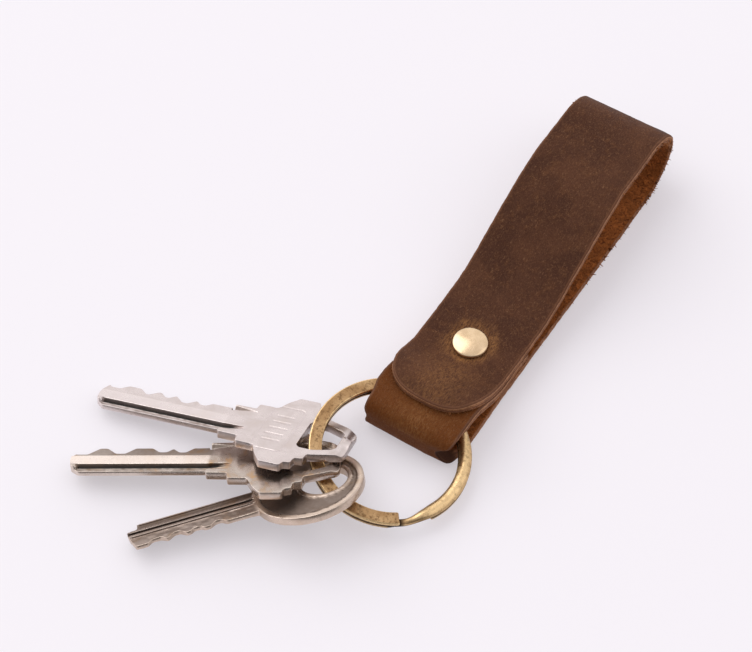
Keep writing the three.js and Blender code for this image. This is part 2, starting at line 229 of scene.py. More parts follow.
# ---- materials ----
def leather_face():
    g = surface("leather_face")
    flat = g.attribute("flat", "Vector")
    broad = g.noise(flat, 0.09, 3.0, 0.6, 0.6)
    patch = g.noise(flat, 0.45, 4.0, 0.65, 0.8)
    streaks = g.noise(g.stretch(flat, (3.2, 0.9, 1.0)), 1.0, 3.0, 0.7, 0.9)
    hairs = g.noise(g.stretch(flat, (3.9, 2.0, 1.0)), 1.0, 4.0, 0.8, 1.2)
    grain = g.noise(flat, 3.6, 3.0, 0.7)
    g.colour = g.mix(g.ramp(broad, 0.35, 0.7), (0.058, 0.0205, 0.0105), (0.090, 0.034, 0.0165))
    g.coat(g.ramp(patch, 0.5, 0.8, 0.0, 0.55), (0.135, 0.055, 0.023))
    g.coat(g.ramp(g.attribute("fold"), 0.0, 1.0, 0.0, 0.92), (0.130, 0.036, 0.005))
    fleck = g.times(g.ramp(streaks, 0.56, 0.74), g.ramp(patch, 0.3, 0.7, 0.25, 0.9))
    g.coat(g.times(fleck, 0.5), (0.25, 0.125, 0.055))
    rubbed = g.plus(g.ramp(patch, 0.35, 0.7, 0.45, 0.8), g.times(g.attribute("rub"), 0.5))
    g.coat(g.times(g.ramp(hairs, 0.52, 0.66), rubbed), (0.21, 0.108, 0.056))
    g.coat(g.ramp(hairs, 0.47, 0.34, 0.0, 0.6), (0.030, 0.0115, 0.007))
    halo = g.times(g.attribute("halo"), g.ramp(streaks, 0.35, 0.62))
    g.coat(g.times(halo, 0.75), (0.30, 0.135, 0.046))
    g.coat(g.ramp(grain, 0.5, 0.3, 0.0, 0.35), (0.035, 0.015, 0.009))
    rim = g.times(g.attribute("rim"), g.ramp(patch, 0.3, 0.6, 0.5, 1.0))
    g.coat(rim, (0.145, 0.062, 0.031))
    pebble = g.cells(flat, 2.6)
    height = g.plus(g.times(grain, 0.7), g.times(pebble, 0.5))
    height = g.plus(height, g.times(hairs, 0.7))
    fine = g.bump(height, 0.05, 0.8)
    return g.set(
        Roughness=g.ramp(patch, 0.3, 0.7, 0.56, 0.7),
        Specular_IOR_Level=0.08,
        Normal=g.bump(patch, 0.15, 0.5, fine),
    )


def leather_edge():
    g = surface("leather_edge")
    flat = g.attribute("flat", "Vector")
    depth = g.attribute("depth")  # 0 at the grain side, 1 at the flesh side
    fibre = g.noise(g.stretch(flat, (1.6, 0.9, 4.0)), 1.6, 5.0, 0.75, 0.8)
    cloud = g.noise(flat, 0.28, 3.0, 0.6, 0.4)
    g.colour = g.mix(g.ramp(fibre, 0.35, 0.7), (0.17, 0.064, 0.026), (0.62, 0.29, 0.14))
    g.coat(g.ramp(cloud, 0.42, 0.62, 0.0, 0.55), (0.17, 0.068, 0.030))
    groove = g.ramp(g.maths("ABSOLUTE", g.minus(depth, 0.62)), 0.02, 0.12, 0.6, 0.0)
    g.coat(groove, (0.09, 0.036, 0.018))
    line = g.ramp(g.maths("ABSOLUTE", g.minus(depth, 0.2)), 0.03, 0.07, 0.55, 0.0)
    g.coat(line, (0.62, 0.32, 0.16))
    g.coat(g.ramp(depth, 0.17, 0.1, 0.0, 0.85), (0.115, 0.047, 0.024))
    g.coat(g.ramp(depth, 0.78, 1.0, 0.0, 0.9), (0.20, 0.07, 0.024))
    # Painted shade: the cut edge is darkened in the opening of the fold's crushed right end.
    g.coat(g.times(g.attribute("eye"), 0.92), (0.045, 0.014, 0.006))
    return g.set(Roughness=0.85, Specular_IOR_Level=0.2, Normal=g.bump(fibre, 0.25, 1.0))


def leather_flesh():
    g = surface("leather_flesh")
    flat = g.attribute("flat", "Vector")
    nap = g.noise(flat, 1.3, 5.0, 0.7, 1.2)
    tuft = g.noise(flat, 0.5, 3.0, 0.6, 0.4)
    g.colour = g.mix(g.ramp(nap, 0.3, 0.72), (0.075, 0.019, 0.004), (0.46, 0.145, 0.036))
    g.coat(g.ramp(tuft, 0.4, 0.7, 0.0, 0.5), (0.20, 0.062, 0.015))
    return g.set(
        Roughness=1.0,
        Specular_IOR_Level=0.1,
        Sheen_Weight=0.15,
        Sheen_Roughness=0.5,
        Sheen_Tint=(0.9, 0.55, 0.3, 1),
        Normal=g.bump(nap, 0.3, 1.0),
    )


def fibre_material():
    g = surface("leather_fibre")
    shade = g.noise(g.place(), 900.0, 2.0)
    g.colour = g.mix(g.ramp(shade, 0.35, 0.65), (0.10, 0.030, 0.008), (0.42, 0.16, 0.055))
    return g.set(Roughness=0.9, Specular_IOR_Level=0.2)


def brass_cap():
    g = surface("rivet_brass")
    place = g.place()
    cloud = g.noise(place, 420.0, 3.0, 0.6)
    hair = g.noise(g.stretch(place, (900.0, 6000.0, 900.0)), 1.0, 2.0, 0.6, 1.0)
    g.colour = g.mix(g.ramp(cloud, 0.35, 0.7), (0.69, 0.50, 0.305), (0.80, 0.60, 0.385))
    # Painted shade on the cap's lower rim, next to the leather.
    g.coat(g.attribute("grime_and_shade"), (0.11, 0.075, 0.032))
    return g.set(
        Metallic=1.0,
        Roughness=g.ramp(cloud, 0.3, 0.7, 0.16, 0.27),
        Normal=g.bump(hair, 0.003, 0.3, g.bump(cloud, 0.012, 0.2)),
    )


def steel():
    g = surface("rivet_steel")
    cloud = g.noise(g.place(), 600.0, 4.0)
    g.colour = g.mix(cloud, (0.42, 0.42, 0.41), (0.6, 0.6, 0.58))
    return g.set(
        Metallic=1.0,
        Roughness=g.ramp(cloud, 0.3, 0.7, 0.3, 0.45),
        Normal=g.bump(cloud, 0.01, 0.4),
    )


def antique_brass():
    g = surface("antique_brass")
    place = g.place()
    broad = g.noise(place, 160.0, 4.0, 0.6, 0.4)
    spots = g.noise(place, 900.0, 5.0, 0.75, 0.3)
    scratch = g.noise(g.stretch(place, (700.0, 700.0, 7000.0)), 1.0, 3.0, 0.6, 2.0)
    g.colour = g.mix(g.ramp(broad, 0.35, 0.68), (0.37, 0.215, 0.098), (0.56, 0.365, 0.185))
    g.coat(g.ramp(spots, 0.47, 0.64, 0.0, 0.85), (0.15, 0.08, 0.036))
    worn = g.times(g.attribute("worn"), g.ramp(spots, 0.75, 0.45, 0.45, 1.0))
    g.coat(worn, (0.93, 0.68, 0.36))
    # Painted shade: the wire's underside, its pinch and the gap at the jog are darkened.
    g.coat(g.attribute("grime_and_shade"), (0.035, 0.022, 0.012))
    rough = g.ramp(spots, 0.35, 0.7, 0.27, 0.5)
    return g.set(
        Metallic=1.0,
        Roughness=g.minus(rough, g.times(g.attribute("worn"), 0.06)),
        Normal=g.bump(scratch, 0.006, 0.5, g.bump(spots, 0.02, 0.5)),
    )


DEEP_SHADE = (0.012, 0.009, 0.008)  # near-black painted shade in a key's slots


def nickel(name, clean, dull, polished, grime_and_shade, tint, tint_share, rough):
    """Key metal. The point attributes for dirt with painted shade, worn and along come from the key's shape;
    painted shade also comes from the face attribute side, on the side walls.
    """
    g = surface(name)
    place = g.place()
    local = g.attribute("along", "Vector")
    cloud = g.noise(place, 210.0, 4.0, 0.6, 0.5)
    spots = g.noise(place, 1300.0, 4.0, 0.7)
    drawn = g.noise(g.stretch(local, (0.5, 9.0, 9.0)), 1.0, 3.0, 0.6, 0.2)
    hair = g.noise(g.stretch(local, (7.0, 1.2, 3.0)), 1.0, 3.0, 0.75, 2.5)
    g.colour = g.mix(g.ramp(cloud, 0.3, 0.7), clean, dull)
    g.coat(g.ramp(cloud, 0.5, 0.72, 0.0, tint_share), tint)
    # Dirt, plus painted shade in the slots, the pocket and along the round head's rim.
    dirt_and_shade = g.times(g.attribute("grime_and_shade"), g.ramp(spots, 0.2, 0.6, 0.75, 1.0))
    g.coat(dirt_and_shade, grime_and_shade)
    # Painted shade on the side walls, darker the more a wall faces the head end.
    side = g.times(g.attribute("side"), g.ramp(spots, 0.3, 0.65, 0.6, 1.0))
    g.coat(side, tuple(0.6 * c for c in grime_and_shade))
    # Near black where that value is highest: painted shade in the slots and partly along the round head's
    # rim.
    deep_shade = g.ramp(g.attribute("grime_and_shade"), 0.8, 0.98)
    g.coat(deep_shade, DEEP_SHADE)
    g.coat(g.ramp(spots, 0.66, 0.8, 0.0, 0.5), grime_and_shade)
    shine = g.times(g.attribute("worn"), g.ramp(spots, 0.78, 0.5, 0.55, 0.88))
    g.coat(shine, polished)
    roughness = g.ramp(cloud, 0.3, 0.7, rough, rough + 0.12)
    return g.set(
        Metallic=g.minus(1.0, deep_shade),
        Roughness=g.plus(roughness, g.times(g.attribute("grime_and_shade"), 0.25)),
        Normal=g.bump(hair, 0.006, 0.4, g.bump(drawn, 0.008, 0.45, g.bump(cloud, 0.05, 0.25))),
    )


def floor_material():
    g = surface("floor")
    tone = g.noise(g.place(), 3.0, 2.0)
    g.colour = g.mix(tone, (0.48, 0.462, 0.482), (0.49, 0.472, 0.492))
    return g.set(
        # The floor glows faintly: painted light that lifts the shadows on it.
        Emission_Color=(0.98, 0.94, 0.985, 1),
        Emission_Strength=0.40,
        Roughness=0.6,
        Specular_IOR_Level=0.2,
    )


# ---- strap ----
LOWER = RIVET_FOOT + THICK / 2
MIDDLE = LOWER + THICK + LAYER_GAP
UPPER = MIDDLE + THICK + LAYER_GAP
STRAP_TOP = UPPER + THICK / 2


def middle_layer(y):
    return MIDDLE + (FOLD_TOP - THICK / 2 - MIDDLE) * ramp(y, -4, -18)


def lower_layer(y):
    return LOWER + (THICK / 2 - LOWER) * ramp(y, 6, 45) - FOLD_DROP * ramp(y, -6, -16)


def upper_layer(y):
    return UPPER + (LOOP_HEIGHT - THICK / 2 - UPPER) * ramp(y, 9, 49.5)


def tongue_thickness(y):
    return THICK + (TONGUE_TIP_THICK - THICK) * ramp(y, -8, TONGUE_TIP)


def tongue_level(y):
    over = middle_layer(y) + THICK / 2 + LAYER_GAP + tongue_thickness(y) / 2
    return np.maximum(upper_layer(y), over)


def superellipse(centre, half, exponent, start, end, count):
    a = np.linspace(start, end, count)
    parts = zip(centre, half, (np.cos(a), np.sin(a)))
    return np.stack([mid + reach * np.sign(k) * np.abs(k) ** (2 / exponent) for mid, reach, k in parts], 1)


def even(points, step):
    """The same line with points step apart, and the distance along it."""
    gaps = np.hypot(*np.diff(points, axis=0).T)
    keep = np.concatenate([[True], gaps > 1e-6])
    points = points[keep]
    gone = np.concatenate([[0], np.cumsum(np.hypot(*np.diff(points, axis=0).T))])
    count = int(round(gone[-1] / step)) + 1
    at = np.linspace(0, gone[-1], count)
    return np.stack([np.interp(at, gone, points[:, 0]), np.interp(at, gone, points[:, 1])], 1), at


def soften(points, rounds):
    """Rounds off a line's kinks without moving its ends."""
    for _ in range(rounds):
        points[1:-1] = 0.25 * points[:-2] + 0.5 * points[1:-1] + 0.25 * points[2:]
    return points


def strap_line():
    """The middle of the leather's thickness as (y, z) points from the tab to the tongue's tip."""

    def layer(level, start, end):
        y = np.linspace(start, end, max(2, int(abs(end - start) / LINE_STEP)))
        return np.stack([y, level(y)], 1)

    fold_start = FOLD_FRONT + THICK / 2 + FOLD_LENGTH - 1
    fold_top = FOLD_TOP - THICK / 2
    fold_bottom = LOWER - FOLD_DROP
    middle, half = (fold_top + fold_bottom) / 2, (fold_top - fold_bottom) / 2
    quarter = math.pi / 2
    fold = superellipse(
        (fold_start, middle), (FOLD_LENGTH - 1, half), FOLD_SQUARENESS, quarter, 3 * quarter, BEND_POINTS
    )
    bend_start = LOOP_END - BEND_LENGTH
    bend_half = (BEND_LENGTH - THICK / 2, LOOP_HEIGHT / 2 - THICK / 2)
    bend = superellipse((bend_start, LOOP_HEIGHT / 2), bend_half, 2, -quarter, quarter, BEND_POINTS)
    pieces = [
        layer(middle_layer, TAB_END, fold_start),
        fold,
        layer(lower_layer, fold_start, bend_start),
        bend,
        layer(upper_layer, bend_start, 0),
        layer(tongue_level, 0, TONGUE_TIP),
    ]
    line, _ = even(np.concatenate(pieces), LINE_STEP)
    return even(soften(line, 12), LINE_STEP)


LINE, GONE = strap_line()
STRIP_LENGTH = GONE[-1]


def on_line(s):
    s = np.clip(s, 0, STRIP_LENGTH)
    return np.stack([np.interp(s, GONE, LINE[:, k]) for k in (0, 1)], -1)


def strip_frame(s):
    """Centre point and outward (grain side) direction at distance s along the strip."""
    step = 0.15
    way = unit(on_line(s + step) - on_line(s - step))
    beyond = np.where(s < 0, s, np.where(s > STRIP_LENGTH, s - STRIP_LENGTH, 0))[..., None]
    return on_line(s) + way * beyond, np.stack([way[..., 1], -way[..., 0]], -1)


# Rows down the right edge, from grain to flesh: outward from the bevel's inner line, height over the middle.
EDGE_ROWS = [
    (0.20, THICK / 2 - 0.03),
    (0.38, THICK / 2 - 0.13),
    (0.48, THICK / 2 - 0.30),
    (0.50, 0.50),
    (0.50, 0.15),
    (0.50, -0.20),
    (0.50, -0.55),
    (0.48, -0.85),
    (0.43, -THICK / 2 + 0.10),
]
FLESH_REACH = 0.36


def strip_outline():
    """For stations along the strip: distance, half width of the bevel's inner line, direction out."""
    half = WIDTH / 2
    straight = STRIP_LENGTH - TONGUE_ROUND
    s = np.arange(0, straight, STATION)
    angles = np.radians(np.linspace(1.5, 86.5, 48))
    tip = superellipse((0, 0), (half, TONGUE_ROUND), TONGUE_SQUARENESS, angles[0], angles[-1], len(angles))
    way = unit(np.gradient(tip, axis=0))
    out = np.stack([way[:, 1], -way[:, 0]], 1)
    inner = tip - BEVEL * out
    return (
        np.concatenate([s, straight + inner[:, 1]]),
        np.concatenate([np.full(len(s), half - BEVEL), inner[:, 0]]),
        np.concatenate([np.full(len(s), 1.0), out[:, 0]]),
        np.concatenate([np.full(len(s), 0.0), out[:, 1]]),
    )


def strip_points():
    """Flat coordinates (across, along, height over the middle) of each station's loop, and its edge rows."""
    s, half, out_x, out_s = strip_outline()
    q = np.linspace(-1, 1, ACROSS)
    rows = len(EDGE_ROWS)
    loops = []
    for i in range(len(s)):
        grain = [(half[i] * k, s[i], THICK / 2) for k in q]
        right = [(half[i] + out_x[i] * o, s[i] + out_s[i] * o, t) for o, t in EDGE_ROWS]
        flesh_half = half[i] + out_x[i] * FLESH_REACH
        flesh = [(flesh_half * k, s[i] + out_s[i] * FLESH_REACH, -THICK / 2) for k in q[::-1]]
        left = [(-x, along, t) for x, along, t in right[::-1]]
        loops.append(grain + right + flesh + left)
    return np.array(loops), rows


def strap():
    flat, rows = strip_points()
    stations, around = flat.shape[:2]
    faces = loop_faces(stations, around)
    regions = np.tile(
        np.array([0] * (ACROSS - 1) + [1] * (rows + 1) + [2] * (ACROSS - 1) + [1] * (rows + 1)), stations - 1
    ).tolist()
    points = flat.reshape(-1, 3)
    extra = []
    q = np.linspace(-1, 1, ACROSS)[1:-1]
    for station, end in ((0, 0.0), (stations - 1, 1.0)):
        base = station * around
        rings = [list(range(base, base + ACROSS))]
        for k, (_, t) in enumerate(EDGE_ROWS):
            right = base + ACROSS + k
            left = base + around - 1 - k
            first = len(points) + len(extra)
            x, along = points[right][0], points[right][1]
            extra += [(x * j, along, t) for j in q]
            rings.append([left] + list(range(first, first + len(q))) + [right])
        rings.append(list(range(base + 2 * ACROSS + rows - 1, base + ACROSS + rows - 1, -1)))
        for upper, lower in zip(rings, rings[1:]):
            for j in range(ACROSS - 1):
                quad = (upper[j], upper[j + 1], lower[j + 1], lower[j])
                faces.append(quad if end else quad[::-1])
                regions.append(1)
    flat = np.concatenate([points, np.array(extra)])
    placed = place_leather(flat)
    to_edge = WIDTH / 2 - np.abs(flat[:, 0])
    values = {
        "flat": flat,
        "depth": 0.5 - flat[:, 2] / THICK,
        "halo": rivet_halo(placed, flat),
        "fold": fold_warmth(flat),
        # eye: painted shade on the edge in the opening of the fold's crushed right end.
        "eye": ramp(placed[:, 1], -21, -24) * ramp(placed[:, 2], 8.2, 6.8) * ramp(placed[:, 0], 4, 7),
        "rim": np.where(flat[:, 2] > THICK / 2 - 0.5, ramp(to_edge, 0.9, 0.15), 0) * 0.5,
        "rub": bump_at(flat[:, 0], -4, 9) * bump_at(placed[:, 1], 80, 16) * (flat[:, 2] > 0),
    }
    hairs, hair_faces = fibres(len(placed))
    faces += hair_faces
    regions += [3] * len(hair_faces)
    for key, value in values.items():
        values[key] = np.concatenate([value, np.zeros((len(hairs), *value.shape[1:]))])
    made = mesh_object("leather_loop", np.concatenate([placed, hairs]), faces, values)
    for material in (leather_face(), leather_edge(), leather_flesh(), fibre_material()):
        made.data.materials.append(material)
    made.data.polygons.foreach_set("material_index", regions)
    face_outwards(made)
    return made


LOOP_FIBRES = 700
TUFTS = 420
TONGUE_FIBRES = 260
FIBRE_RADIUS = 0.085
TUFT_WIDTH = 2.3  # tufts are this much thicker than fibres
NIB_RADIUS = 0.3  # the tongue's torn nib, which is its first fibre
NIB_LENGTH = 1.0
NIB_ANGLE = 1.05
FIBRE_ROWS = ((-0.15, 1.0), (0.45, 0.75), (0.8, 0.45), (1.0, 0.1))  # share of the length, share of the radius


def strip_way(out):
    """The way along the strip in space, from its outward direction in the (y, z) plane."""
    return np.stack([np.zeros(len(out)), out[:, 1], -out[:, 0]], 1)


def loop_roots(rng):
    """Roots in flat coordinates, directions and lengths of the fibres on the finger loop's flesh side."""
    count = LOOP_FIBRES
    s = rng.uniform(62, STRIP_LENGTH - 32, count)
    side = rng.choice([-1.0, 1.0], count)
    edge = rng.random(count) < 0.62
    inward = np.where(edge, rng.uniform(0.0, 0.3, count), rng.uniform(0.3, 11, count))
    _, out = strip_frame(s)
    away = np.stack([side * np.where(edge, rng.uniform(0.1, 0.9, count), 0), -out[:, 0], -out[:, 1]], 1)
    lean = rng.normal(0, 0.3, count)[:, None] * np.array([1.0, 0, 0])
    along = strip_way(out) * rng.normal(0, 0.7, count)[:, None]
    length = np.where(edge, rng.gamma(3.0, 0.15, count) + 0.15, rng.uniform(0.15, 0.4, count))
    root = np.stack([side * (WIDTH / 2 - inward), s, np.full(count, -THICK / 2 + 0.02)], 1)
    return root, away + lean + along, length


def tuft_roots(rng):
    """The same for the coarse torn tufts that stand out from the cut edges, most of them near the far end."""
    s = STRIP_LENGTH - 112 + rng.normal(0, 17, TUFTS)
    side = rng.choice([-1.0, 1.0], TUFTS)
    _, out = strip_frame(s)
    rise = rng.uniform(-0.3, 0.9, TUFTS)
    away = np.stack([side * rng.uniform(0.7, 1.1, TUFTS), -out[:, 0] * rise, -out[:, 1] * rise], 1)
    along = strip_way(out) * rng.normal(0, 0.35, TUFTS)[:, None]
    level = rng.uniform(-THICK / 2 + 0.12, THICK / 2 - 0.9, TUFTS)
    root = np.stack([side * (WIDTH / 2 - 0.1), s, level], 1)
    return root, away + along, rng.uniform(0.3, 0.95, TUFTS)


def tongue_roots(rng):
    """The same for the tongue's tip, with one longer torn nib."""
    angle = rng.uniform(0.12, math.pi - 0.12, TONGUE_FIBRES)
    angle[0] = NIB_ANGLE
    c, n = np.cos(angle), np.sin(angle)
    share = 2 / TONGUE_SQUARENESS
    x = (WIDTH / 2 - 0.12) * np.sign(c) * np.abs(c) ** share
    y = (TONGUE_ROUND - 0.12) * n**share
    level = rng.uniform(-THICK / 2 + 0.05, -THICK / 2 + 0.5, TONGUE_FIBRES)
    root = np.stack([x, STRIP_LENGTH - TONGUE_ROUND + y, level], 1)
    way = np.stack([c, -n, rng.uniform(-1.1, -0.2, TONGUE_FIBRES)], 1)
    way = way + rng.normal(0, 0.25, (TONGUE_FIBRES, 3))
    length = rng.gamma(2.5, 0.07, TONGUE_FIBRES) + 0.12
    length[0] = NIB_LENGTH
    return root, way, length


def fibres(first):
    """Loose fibres and torn tufts as thin three-sided spikes. first is the number of their first point."""
    rng = np.random.default_rng(77)
    kinds = (loop_roots(rng), tuft_roots(rng), tongue_roots(rng))
    root, way, length = (np.concatenate(parts) for parts in zip(*kinds))
    root = place_leather(root)
    count = len(root)
    way = unit(way)
    radius = FIBRE_RADIUS * rng.uniform(0.4, 1.3, count)
    radius[LOOP_FIBRES : LOOP_FIBRES + TUFTS] *= TUFT_WIDTH
    radius[LOOP_FIBRES + TUFTS] = NIB_RADIUS
    curl = rng.normal(0, 0.4, (count, 3))
    across = unit(np.cross(way, (1.0, 0.3, 0.2)))
    third = np.cross(way, across)
    points, faces = [], []
    for i in range(count):
        for share, width in FIBRE_ROWS:
            centre = root[i] + (way[i] * share + curl[i] * max(share, 0) ** 2 * 0.6) * length[i]
            for k in range(3):
                angle = 2 * math.pi * k / 3
                out = across[i] * math.cos(angle) + third[i] * math.sin(angle)
                points.append(centre + out * radius[i] * width)
        base = first + i * len(FIBRE_ROWS) * 3
        for row in range(base, base + 3 * (len(FIBRE_ROWS) - 1), 3):
            faces += [(row + k, row + (k + 1) % 3, row + 3 + (k + 1) % 3, row + 3 + k) for k in range(3)]
        top = base + 3 * (len(FIBRE_ROWS) - 1)
        faces += [(base, base + 2, base + 1), (top, top + 1, top + 2)]
    points = np.array(points)
    points[:, 2] = np.maximum(points[:, 2], 0.01)
    return points, faces


def rivet_halo(placed, flat):
    reach = np.hypot(placed[:, 0], placed[:, 1])
    top = (placed[:, 2] > MIDDLE + THICK) & (flat[:, 2] > 0)
    wobble = 1.2 * ripple(placed[:, 0], placed[:, 1], 2.2, 5)
    near = np.exp(-(((reach + wobble - 4.1) / 1.7) ** 2))
    below = 0.45 * bump_at(placed[:, 0], 1, 6) * ramp(placed[:, 1], -3, -9)
    return np.where(top, np.clip(near * 0.95 + below, 0, 1), 0)


def fold_warmth(flat):
    """The grain side is warmer round the fold, between these stations of the strip."""
    return ramp(flat[:, 1], 8, 15) * ramp(flat[:, 1], 74, 60) * (flat[:, 2] > 0)


def place_leather(flat):
    """Points of the strip in space, with the leather's waves, pressed rivet seat and pinched fold."""
    x, s, t = flat.T
    middle, out = strip_frame(s)
    y = middle[:, 0]
    upper = s > STRIP_LENGTH - 95
    lower = (s > 40) & ~upper
    loose = np.where(upper | lower, ramp(y, 10, 24), 0)
    thickness = np.where(upper, tongue_thickness(y), THICK)
    side = np.sign(t)
    wave = 0.16 * ripple(x, s, 11.0, 1) + 0.06 * ripple(x, s, 4.0, 2)
    grain = 0.022 * ripple(x, s, 1.6, 3) + 0.014 * ripple(x, s, 0.8, 4)
    nap = 0.10 * ripple(x, s, 1.1, 6) + 0.05 * ripple(x, s, 0.5, 7)
    lift = loose * wave + np.where(side > 0, grain, -nap * loose)
    free = np.abs(t) < THICK / 2 - 0.01
    wobble = 0.10 * ripple(s, 3 * np.sign(x), 5.0, 8) + 0.05 * ripple(s, 7 * np.sign(x), 1.3, 9)
    torn = 0.035 * ripple(s, t * 3 + 20 * np.sign(x), 0.5, 10) * free
    at_edge = ramp(np.abs(x), WIDTH / 2 - 2.5, WIDTH / 2 - 0.6)
    across = x + np.sign(x) * (wobble * at_edge + torn) * ramp(STRIP_LENGTH - s, 0, 6)
    height = t * thickness / THICK + lift
    seat = np.hypot(x, y)
    pressed = 0.16 * ramp(seat, 5.6, 4.3) - 0.05 * bump_at(seat, 6.4, 1.1)
    at_rivet = (upper | (lower & (y < 12))) & (t > 0)
    height = height - np.where(at_rivet, pressed, 0)
    points = np.stack([across, y + out[:, 0] * height, middle[:, 1] + out[:, 1] * height], 1)
    return pinch_fold(points, s)


TUCK = 0.9  # how far the fold's left end is drawn in
CRUSH = 3.6  # how far its right end is pressed inwards at mid height
SLUMP = 0.5  # how far its upper right corner sinks


def pinch_fold(points, s):
    """Squeezes the fold's open ends: the left one a little, the right one crushed in at mid height."""
    x, y, z = points.T
    front = ramp(y, -19.5, -24.5) * (s < 70)
    left = ramp(x, -8.0, -WIDTH / 2)
    tuck = TUCK * ramp(x, -6.0, -WIDTH / 2)
    right = ramp(x, 4.5, WIDTH / 2)
    crushed = CRUSH * right * bump_at(z, 4.8, 3.2)
    lobes = 0.15 * bump_at(z, 8.2, 1.8) + 0.1 * bump_at(z, 2.0, 1.4) - 0.3 * bump_at(z, 5.2, 1.6)
    slump = SLUMP * ramp(z, 7.0, 9.5) * ramp(x, -2.0, WIDTH / 2)
    hollow = 0.25 * left * bump_at(z, 5.2, 1.8) + 0.5 * right * bump_at(z, 5.0, 3.0)
    shift = np.stack([(tuck - lobes * left - crushed) * front, hollow * front, -slump * front], 1)
    points = points + shift
    points[:, 2] = np.maximum(points[:, 2], 0.0)
    return points


# ---- rivet ----
CAP_RADIUS = 4.1
CAP_SHELL = 0.25
FOOT_RADIUS = 2.4  # the flat that the rivet stands on
SEAT_GAP = 0.02  # between each cap's lip and the leather


def turned(name, profile, material_made, segments=96, attributes=None):
    """Turns (radius, height) points round the rivet's axis."""
    profile = np.array(profile)
    angles = np.linspace(0, 2 * math.pi, segments, endpoint=False)
    off_axis = profile[:, 0] > 1e-6
    ring = profile[off_axis]
    points = [(r * math.cos(a), r * math.sin(a), z) for r, z in ring for a in angles]
    faces = loop_faces(len(ring), segments)
    values = {key: np.repeat(value[off_axis], segments) for key, value in (attributes or {}).items()}
    for row, (r, z) in ((0, profile[0]), (len(ring) - 1, profile[-1])):
        if r < 1e-6:
            points.append((0, 0, z))
            centre, first = len(points) - 1, row * segments
            faces += [(first + j, first + (j + 1) % segments, centre) for j in range(segments)]
            for key in values:
                values[key] = np.append(values[key], values[key][first])
    if profile[0][0] > 1e-6:
        last = (len(ring) - 1) * segments
        faces += [(last + j, last + (j + 1) % segments, (j + 1) % segments, j) for j in range(segments)]
    made = mesh_object(name, points, faces, values)
    face_outwards(made)
    made.data.materials.append(material_made)
    return made


def cap(name, level, height, flat_radius, up, material_made):
    """A pressed cap with a rounded rim. level is where its lip lies, up is +1 or -1."""
    radius, shell = CAP_RADIUS, CAP_SHELL
    lip = 0.32 * height
    angles = np.linspace(0, math.pi / 2, 22)
    crown = [
        (flat_radius + (radius - 0.1 - flat_radius) * math.sin(a), lip + (height - lip) * math.cos(a) ** 0.9)
        for a in angles
    ]
    rim = [
        (radius - 0.02, lip * 0.8),
        (radius, lip * 0.5),
        (radius - 0.05, lip * 0.2),
        (radius - 0.2, 0.0),
        (radius - 0.45, 0.02),
    ]
    inner = height - shell
    under = [(3.6, 0.16), (3.58, max(inner, 0.6) * 0.8), (2.6, inner), (0.0, inner)]
    profile = np.array([(0.0, height)] + crown[1 if flat_radius == 0 else 0 :] + rim + under)
    # Painted shade along the bottom of the rim, where the cap meets the leather.
    grime_and_shade = np.where(profile[:, 1] < lip * 0.7, 0.85, 0.0)
    profile[:, 1] = level + up * profile[:, 1]
    return turned(name, profile, material_made, attributes={"grime_and_shade": grime_and_shade})


# ---- split ring ----
SLIDE = next(j for j in frame["joints"] if j["name"] == "upper_key_slide")
RING_CENTRE = Vector(SLIDE["pos_m"])
RING_AXIS = -Vector(SLIDE["axis"]).normalized()
RING_OUTER = 17.75
WIRE = 2.9
COIL = 1.05
COIL_GAP = 0.1
CUT = math.radians(309)
JOG = math.radians(20)
FLAT_UNTIL = math.radians(200)  # from the cut the wire is flat this far round
ROUND_FROM = math.radians(230)  # and half round from here


def ring_place():
    tilt_y = math.asin(RING_AXIS.x)
    tilt_x = math.atan2(-RING_AXIS.y, RING_AXIS.z)
    turn = Matrix.Rotation(tilt_x, 4, "X") @ Matrix.Rotation(tilt_y, 4, "Y")
    return Matrix.Translation(RING_CENTRE / MM) @ turn


def wire_section(flatness):
    """Points of the wire's section, from the inner side: across, up, how worn and how dark, the last being
    painted shade that is darkest on the underside.
    """
    q = np.concatenate([np.linspace(-1, -0.8, 4), np.linspace(-0.7, 0.7, 11), np.linspace(0.8, 1, 4)])
    w, h = WIRE / 2, COIL / 2
    bevel = 0.24
    edge = w * (1 - np.abs(q))
    flat_top = h - np.where(edge < bevel, (bevel - edge) * 0.95, 0)
    round_top = h - 1.05 * (1 - np.sqrt(np.clip(1 - q**2, 0, 1)))
    top = flat_top * flatness + round_top * (1 - flatness)
    top = np.maximum(top, -h + 0.35)
    round_worn = 0.35 + 0.35 * (1 - np.abs(q))
    worn = np.where(edge < bevel * 1.15, 1.0, 0.0) * flatness + (1 - flatness) * round_worn
    upper = np.stack([q * w, top, worn, np.zeros(len(q))], 1)
    under_edge = bevel * 0.6
    # The underside: its last column is painted shade, darkest under the wire.
    under = [
        (w, -h + 0.3, 0.2, 0.35),
        (w - 0.04, -h + 0.14, 0.1, 0.9),
        (w - under_edge, -h, 0.0, 1.0),
        (w * 0.4, -h, 0.0, 0.8),
    ]
    return np.concatenate([upper, under, [(-across, *rest) for across, *rest in under[::-1]]])


